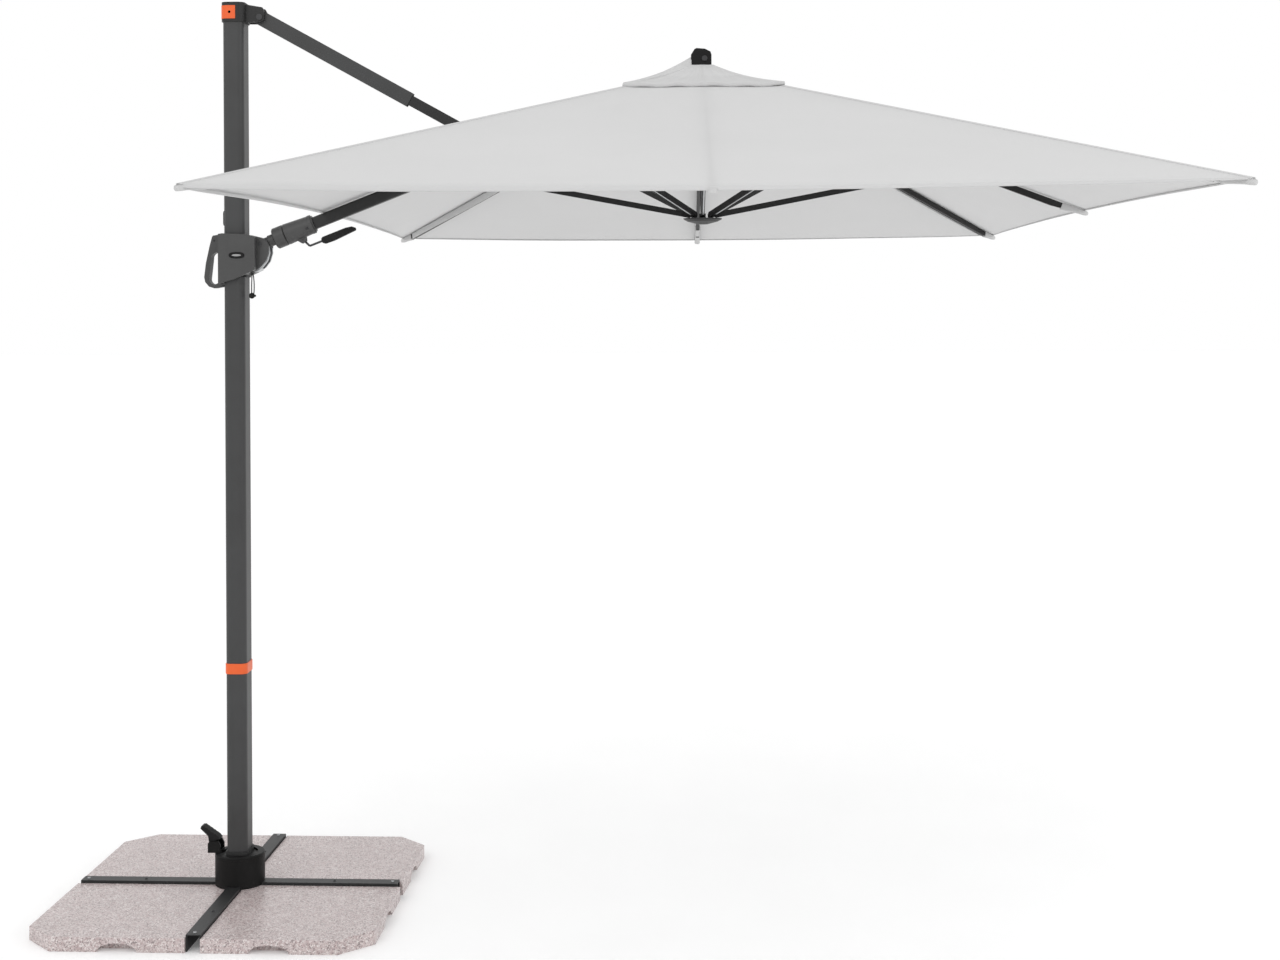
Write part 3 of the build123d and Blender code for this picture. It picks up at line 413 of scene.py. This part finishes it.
def cloth_piece(name, i, grid, skip=lambda r: False):
    """A piece of cloth through a grid of points, on rib i's body, without the rows that skip names."""
    width = len(grid[0])
    faces = []
    for r in range(len(grid) - 1):
        if not skip(r):
            for a in range(r * width, r * width + width - 1):
                faces.append((a, a + width, a + width + 1, a + 1))
    return piece(name, [p for row in grid for p in row], faces, CANOPY, RIB_BODIES[i])


def row_share(r):
    return INNER_SHARE + (1 - INNER_SHARE) * r / ROWS


def hem_point(i, t, push, down):
    out, depth = edge_out(i, t)
    return cloth_point(i, t, 1.0) + out * push - Vector((0, 0, depth * down))


def cloth_grid(sides):
    """Rows of cloth points from the crown out to the edge, and over it into the hem. sides gives the
    columns at a share of the way out."""
    shares = [row_share(r) for r in range(ROWS + 1)]
    grid = [[cloth_point(i, t, share) for i, t in sides(share)] for share in shares]
    return grid + [[hem_point(i, t, push, down) for i, t in sides(1.0)] for push, down in HEM_STEPS]


def fold_away(obj):
    """Give the cloth piece a mesh of its own. It rides on its rib's body as the parasol folds."""
    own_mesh(obj)


def short(i):
    return RIB_BODIES[i].replace("rib_", "")


def slit(r):
    """The arm's knee stands up through the strip over the arm in an open slit."""
    x = CROWN_X - HALF_X * (row_share(r) + row_share(r + 1)) / 2
    return ARM_SLIT[0] < x < ARM_SLIT[1]


def by_arm(t):
    """A column at a signed share of the cover beside the arm, front side positive."""
    return (4, t) if t >= 0 else (3, 1 + t)


def strip_edge(share):
    """How far the strip over the arm reaches, as a share of the half side."""
    return ARM_STRIP / (HALF_Y * share)


def strip_sides(share):
    edge = strip_edge(share)
    return [by_arm(edge * k / STRIP_COLUMNS) for k in range(-STRIP_COLUMNS, STRIP_COLUMNS + 1)]


def arm_half_sides(way):
    """The columns of the cover in front of the arm's strip, or behind it."""
    def sides(share):
        edge = strip_edge(share)
        rest = 1 - CORNER_SHARE - edge
        shares = [(c / MIDDLE_COLUMNS) ** CROWDING for c in range(MIDDLE_COLUMNS + 1)]
        columns = [by_arm(way * (edge + rest * share)) for share in shares]
        return columns[::way]
    return sides


def panel(name, i, sides, skip=lambda r: False):
    obj = cloth_piece(name, i, cloth_grid(sides), skip)
    return obj


# The cover is cut only so that it can follow the fold. The cut edges meet at rest.
for i in (0, 2, 6):
    columns = across(i, MIDDLE_COLUMNS)
    obj = panel("canopy_panel_" + short(i), i, lambda share: columns)
    if i == 0:
        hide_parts("canopy")
    fold_away(obj)

panel("canopy_strip_arm", 4, strip_sides, slit)
for way, name in ((1, "front"), (-1, "back")):
    obj = panel("canopy_panel_arm_" + name, 4, arm_half_sides(way))
    fold_away(obj)

for i in CORNER_RIBS:
    for way in (-1, 1):
        other = (i + way) % 8
        columns = beside(i, way, CORNER_COLUMNS)[::way]
        name = "canopy_corner_" + short(i) + "_by_" + short(other)
        obj = panel(name, i, lambda share: columns)
        fold_away(obj)

TAPE_HALF, TAPE_RISE = 0.011, Vector((0, 0, 0.0012))
TAPE_START, TAPE_RUN = 0.12, 0.884      # shares of the way from the crown to the edge


def ridge_tape(i):
    """The doubled tape sewn over the cover along a corner rib."""
    rings = []
    for r in range(ROWS + 1):
        share = TAPE_START + TAPE_RUN * r / ROWS
        middle = rib_line(i, share)
        left_t = TAPE_HALF / (rib_line(i - 1, share) - middle).length
        right_t = TAPE_HALF / (rib_line(i + 1, share) - middle).length
        left, right = cloth_point(i - 1, 1 - left_t, share), cloth_point(i, right_t, share)
        under = [p - TAPE_RISE for p in (left, middle, right)]
        rings.append(under + [right + TAPE_RISE * 0.8, middle + TAPE_RISE, left + TAPE_RISE * 0.8])
    loft("ridge_tape_" + short(i), rings, HEM, RIB_BODIES[i])


for i in CORNER_RIBS:
    ridge_tape(i)


def slit_binding():
    """A bound edge round the slit for the arm's knee."""
    rows = [r for r in range(ROWS) if slit(r)]
    first, last = row_share(rows[0]), row_share(rows[-1] + 1)

    def at(k, share):
        return cloth_point(*by_arm(k * ARM_STRIP / (HALF_Y * share)), share)

    long_steps, short_steps = 12, 10
    loop = [at(1, first + (last - first) * k / long_steps) for k in range(long_steps)]
    loop += [at(1 - 2 * k / short_steps, last) for k in range(short_steps)]
    loop += [at(-1, last + (first - last) * k / long_steps) for k in range(long_steps)]
    loop += [at(2 * k / short_steps - 1, first) for k in range(short_steps)]
    centre = sum(loop, Vector()) / len(loop)
    count, section = len(loop), 8
    half_wide, half_thick = 0.0035, 0.0018
    verts, faces = [], []
    for point in loop:
        out = (point - centre).normalized()
        for angle in round_angles(section):
            rise = Vector((0, 0, half_thick * math.sin(angle)))
            verts.append(point + out * half_wide * math.cos(angle) + rise)
    for a in range(count):
        for k in range(section):
            b, j = (a + 1) % count, (k + 1) % section
            faces.append((a * section + k, b * section + k, b * section + j, a * section + j))
    obj = piece("arm_slit_binding", verts, faces, HEM, "arm")
    face_out(obj)


slit_binding()


VENT_TOP, VENT_EDGE = 0.028, 0.2        # shares of the way from the crown to the cover's edge
VENT_LIFT = 0.010                       # how far the cap stands over the cover
VENT_ROWS, VENT_COLUMNS = 16, 12
VENT_HEM = [(0.0012, 0.003), (0.0014, 0.007), (-0.0008, 0.009), (-0.0016, 0.006)]   # (out, down)


def vent_point(i, t, share):
    """The vent cap: a small tent whose sides sweep up to the crown cap in a hollow curve."""
    s = (share - VENT_TOP) / (VENT_EDGE - VENT_TOP)
    p = cloth_point(i, t, share, VENT_LIFT)
    rise = 0.010 * (1 - s) ** 3
    p.z += rise - 0.006 * math.sin(math.pi * s)
    fold = math.sin(7 * math.pi * t + i) * 0.0016 * math.sin(math.pi * s)
    p.z += fold + 0.0015 * math.sin(5 * math.pi * t + 2 * i) * s**3
    return p


def vent_hem_point(i, t, push, down):
    out, _ = edge_out(i, t)
    return vent_point(i, t, VENT_EDGE) + out * push - Vector((0, 0, down))


for i in range(8):
    columns = across(i, VENT_COLUMNS)
    shares = [VENT_TOP + (VENT_EDGE - VENT_TOP) * r / VENT_ROWS for r in range(VENT_ROWS + 1)]
    grid = [[vent_point(k, t, share) for k, t in columns] for share in shares]
    grid += [[vent_hem_point(k, t, push, down) for k, t in columns] for push, down in VENT_HEM]
    obj = cloth_piece("vent_panel_" + short(i), i, grid)
    x, y, _ = EDGES[i]
    if i == 0:
        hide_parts("vent_cap")
    fold_away(obj)

HUB_OUT, HUB_Z = 0.042, 2.366           # where the ribs are hinged
RIB_INSET, RIB_DROP = 0.006, 0.013      # the ribs' tips, inside and under the cover's edge
POCKET_LENGTH = {0: 0.066, 2: 0.180, 6: 0.180}      # by middle rib
CORNER_POCKET_LENGTH = 0.070


def rib_frame(i):
    """Rib i's two ends, the direction along it and its two cross directions."""
    x, y, z = EDGES[i]
    flat = Vector((x, y, 0)).normalized()
    reach = math.hypot(x, y) - RIB_INSET
    start = Vector((CROWN_X, 0, HUB_Z)) + flat * HUB_OUT
    end = Vector((CROWN_X, 0, z - RIB_DROP)) + flat * reach
    along = (end - start).normalized()
    side = Vector((0, 0, 1)).cross(along).normalized()
    up = along.cross(side)
    return start, end, along, side, up


def tip_pocket(i):
    """A sewn pocket that the rib's tip sits in."""
    _, end, along, side, up = rib_frame(i)
    back = POCKET_LENGTH.get(i, CORNER_POCKET_LENGTH)
    rings = []
    for at, half, top, low in [     # along the rib from its tip, half the width, and the two heights
        (-back, 0.0078, 0.0105, -0.0103), (-back + 0.006, 0.0085, 0.0108, -0.0106),
        (-0.040, 0.0090, 0.0112, -0.0070), (-0.012, 0.0095, 0.0115, -0.0032), (0.004, 0.0095, 0.0115, -0.0022),
        (0.010, 0.0080, 0.0110, -0.0012), (0.014, 0.0040, 0.0085, 0.0010),
    ]:
        mid, tall = (top + low) / 2, (top - low) / 2
        rings.append([end + along * at + side * u + up * (mid + v) for u, v in rounded(half, tall, 0.004)])
    loft("rib_pocket_" + short(i), rings, POCKET, RIB_BODIES[i])


STRIP_START, STRIP_RUN = 0.40, 0.555    # shares of the rib's length
STRIP_STEPS = 24


def rib_strip(i):
    """A doubled strip of cloth sewn under the cover beside a corner rib, on the arm's side."""
    start, end, along, side, up = rib_frame(i)
    if side.x > 0:
        side = -side
    length = (end - start).length
    rings = []
    for k in range(STRIP_STEPS + 1):
        s = STRIP_START + STRIP_RUN * k / STRIP_STEPS
        depth = 0.0105 + 0.0010 * math.sin(11 * s)
        at = start + along * (s * length) + side * (0.0088 + 0.0008 * math.sin(17 * s))
        rings.append([at + side * u + up * (0.0085 - depth + v) for u, v in rounded(0.0011, depth, 0.001)])
    loft("rib_strip_" + short(i), rings, HEM, RIB_BODIES[i])


for i in (0, 1, 2, 3, 5, 6, 7):
    tip_pocket(i)
for i in CORNER_RIBS:
    rib_strip(i)


# ---------------------------------------------------------------- stretchers
HUB_TIP_OUT, HUB_TIP_Z = 0.040, 1.973   # where the stretchers are hinged to the lower hub
BAR_HEIGHT = 0.016
RAIL_INSET, RAIL_STEPS = 0.022, 12


def stretcher_ends(name, azimuth):
    """The lower and the upper end of a stretcher's middle line."""
    low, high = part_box("stretcher_" + name)
    flat = Vector((math.cos(azimuth), math.sin(azimuth), 0))
    reach = max(abs(low[0] - CROWN_X), abs(high[0] - CROWN_X)) if abs(flat.x) > 0.01 else 0.0
    wide = max(abs(low[1]), abs(high[1])) if abs(flat.y) > 0.01 else 0.0
    outer = math.hypot(reach, wide) - BAR_HEIGHT / 2
    start = Vector((CROWN_X, 0, HUB_TIP_Z)) + flat * HUB_TIP_OUT
    end = Vector((CROWN_X, 0, high[2] - BAR_HEIGHT / 2)) + flat * outer
    return start, end


def stretcher_rail(name, azimuth):
    """The bright lip of the channel along a stretcher's lower side."""
    start, end = stretcher_ends(name, azimuth)
    along = (end - start).normalized()
    side = Vector((0, 0, 1)).cross(along).normalized()
    up = along.cross(side)
    run = (end - start).length - 2 * RAIL_INSET
    rings = []
    for k in range(RAIL_STEPS + 1):
        at = start + along * (RAIL_INSET + run * k / RAIL_STEPS) + side * 0.0008 - up * (BAR_HEIGHT / 2)
        rings.append([at + side * u + up * v for u, v in rounded(0.0019, 0.0006, 0.0004)])
    loft("stretcher_rail_" + name, rings, ALU, "stretcher_" + name)


CORNER = math.atan2(HALF_Y, HALF_X)
for name, azimuth in [
    ("side", 0.0), ("back_right", CORNER), ("back", math.pi / 2), ("back_left", math.pi - CORNER),
    ("arm", math.pi), ("front_left", math.pi + CORNER), ("front", 1.5 * math.pi), ("front_right", -CORNER),
]:
    stretcher_rail(name, azimuth)


# ---------------------------------------------------------------- small parts
def on_foot(x, y, z):
    """A point of the cross foot, which is turned a little under the mast."""
    c, s = math.cos(FOOT_TURN), math.sin(FOOT_TURN)
    return (x * c - y * s, x * s + y * c, z)


UP = (0, 0, 1)
BEAM_TOP, SCREW_OUT, INNER_SCREW = 0.046, 0.447, 0.62
for name, x, y in [
    ("right", SCREW_OUT, 0), ("left", -SCREW_OUT, 0), ("front", 0, -SCREW_OUT), ("back", 0, SCREW_OUT),
]:
    inner = on_foot(INNER_SCREW * x, INNER_SCREW * y, BEAM_TOP)
    screw("beam_screw_" + name, on_foot(x, y, BEAM_TOP), UP, 0.0048, STEEL, "base")
    screw("beam_screw_inner_" + name, inner, UP, 0.0040, DARK_STEEL, "base")

BADGE_AT = Vector((0.012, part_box("cover_front")[0][1], 1.8615))     # on the slider's near face


def badge_piece(name, half_wide, half_high, fullness, rings, material):
    """An oval plate on the badge's place. A fullness under 1 squares the oval up; rings are (size, out)."""
    def swell(v):
        return math.copysign(abs(v) ** fullness, v)

    oval = [(half_wide * swell(math.cos(angle)), half_high * swell(math.sin(angle))) for angle in round_angles(48)]
    loft(name, [
        [BADGE_AT + Vector((u * size, out, v * size)) for u, v in oval] for size, out in rings
    ], material, "slider")


badge_piece(
    "slider_badge", 0.0225, 0.0090, 0.8,
    [(1.0, 0.0008), (1.0, -0.0012), (0.96, -0.0022), (0.90, -0.0026), (0.86, -0.0020)], BLACK,
)
badge_piece(
    "slider_badge_inlay", 0.0135, 0.0030, 1.0,
    [(1.0, -0.0016), (1.0, -0.0022), (0.9, -0.0024)], LABEL,
)

# A rubber stop on the mast, just over the slider, as (height, how far it stands out).
STOP_PROFILE = [
    (1.947, 0.0030), (1.950, 0.0062), (1.956, 0.0072), (1.984, 0.0072), (1.990, 0.0062), (1.993, 0.0030),
]
MAST_SIDE, STOP_HALF, STOP_SUNK = -0.0298, 0.011, 0.0008
loft("mast_stop", [
    [Vector((MAST_SIDE - out / 2 + u, v, z)) for u, v in rounded(out / 2 + STOP_SUNK, STOP_HALF, 0.002)]
    for z, out in STOP_PROFILE
], RUBBER, "mast")

PIVOT_X, PIVOT_Z, SLOPE = 0.074, 1.895, math.radians(21.391)    # the arm's hinge on the slider
BARREL_SCREW = (0.142, -0.008)          # along the arm and up from its middle
BARREL_HALF = 0.0262


def on_arm(d, e, y):
    """A point beside the lower arm: d along it from the slider's hinge, e above its middle."""
    c, s = math.cos(SLOPE), math.sin(SLOPE)
    return (PIVOT_X + d * c - e * s, y, PIVOT_Z + d * s + e * c)


screw("barrel_screw", on_arm(*BARREL_SCREW, -BARREL_HALF), (0, -1, 0), 0.0042, DARK_STEEL, "arm")
screw("barrel_screw_far", on_arm(*BARREL_SCREW, BARREL_HALF), (0, 1, 0), 0.0042, DARK_STEEL, "arm")

CORD_RADIUS = 0.0015


def lanyard_strand(name, points):
    """A strand of the safety pin's cord, from its eyelet down."""
    curve = bpy.data.curves.new(name, "CURVE")
    curve.dimensions = "3D"
    spline = curve.splines.new("NURBS")
    spline.points.add(len(points) - 1)
    for point, where in zip(spline.points, points):
        point.co = (*where, 1.0)
    spline.order_u = 3
    spline.use_endpoint_u = True
    spline.resolution_u = 12
    curve.bevel_depth = CORD_RADIUS
    curve.bevel_resolution = 5
    curve.use_fill_caps = True
    curve.materials.append(CORD)
    obj = bpy.data.objects.new(name, curve)
    bpy.context.scene.collection.objects.link(obj)
    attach(obj, "safety_pin")
    return obj


DOWN = [(0.052, -0.034, 1.813), (0.049, -0.034, 1.773), (0.0505, -0.034, 1.745)]
lanyard = lanyard_strand("pin_lanyard", DOWN)
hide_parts("lanyard")

RETURN = [(0.0535, -0.034, 1.813), (0.0600, -0.034, 1.783), (0.0560, -0.034, 1.745)]
lanyard_strand("pin_lanyard_return", RETURN)


# ---------------------------------------------------------------- stage
floor = bpy.data.meshes.new("floor")
floor.from_pydata([(-30, -30, 0), (30, -30, 0), (30, 60, 0), (-30, 60, 0)], [], [(0, 1, 2, 3)])
n = Nodes("floor_paper")
paper = n.ramp(n.noise(3, 3), [(0.3, grey(0.91)), (0.7, grey(0.93))])
glow = {"Emission Color": rgba(grey(1.0)), "Emission Strength": 0.1}
floor.materials.append(n.finish(n.surface(paper, 0.9, **glow)))
floor_object = bpy.data.objects.new("floor", floor)
bpy.context.scene.collection.objects.link(floor_object)
floor_object.location.z = -0.0005

world = bpy.data.worlds.new("studio")
world.use_nodes = True
background = world.node_tree.nodes["Background"]
background.inputs["Color"].default_value = (1, 1, 1, 1)
background.inputs["Strength"].default_value = 1.0
bpy.context.scene.world = world


def area_light(name, where, target, power):
    """A soft round light that points at a target."""
    light = bpy.data.lights.new(name, "AREA")
    light.shape = "DISK"
    light.size = 4.0
    light.energy = power
    obj = bpy.data.objects.new(name, light)
    obj.location = where
    obj.rotation_euler = (Vector(target) - Vector(where)).to_track_quat("-Z", "Y").to_euler()
    bpy.context.scene.collection.objects.link(obj)


area_light("key", (-3.0, -6.0, 5.5), (0.8, 0, 1.2), 70)
area_light("fill", (6.0, -4.0, 3.0), (1.0, 0, 1.2), 60)

# ---------------------------------------------------------------- camera
CAMERA_AT = (1.2814, -5.2808, 1.7129)
CAMERA_YAW, CAMERA_PITCH, CAMERA_ROLL = 0.0193, -0.0037, 0.0043     # from a level look along +Y
camera_data = bpy.data.cameras.new("camera")
camera_data.sensor_width = 36.0
camera_data.lens = 51.33
camera_data.shift_x = -0.0024
camera_data.shift_y = -0.1313
camera_data.clip_end = 200
camera = bpy.data.objects.new("camera", camera_data)
camera.matrix_world = (
    Matrix.Translation(CAMERA_AT) @ Matrix.Rotation(CAMERA_YAW, 4, "Z") @ Matrix.Rotation(CAMERA_PITCH, 4, "X")
    @ Matrix.Rotation(CAMERA_ROLL, 4, "Y") @ Matrix.Rotation(math.pi / 2, 4, "X")
)
bpy.context.scene.collection.objects.link(camera)
bpy.context.scene.camera = camera
bpy.context.scene.view_settings.view_transform = "Standard"
bpy.context.scene.view_settings.look = "None"

bpy.context.view_layer.update()
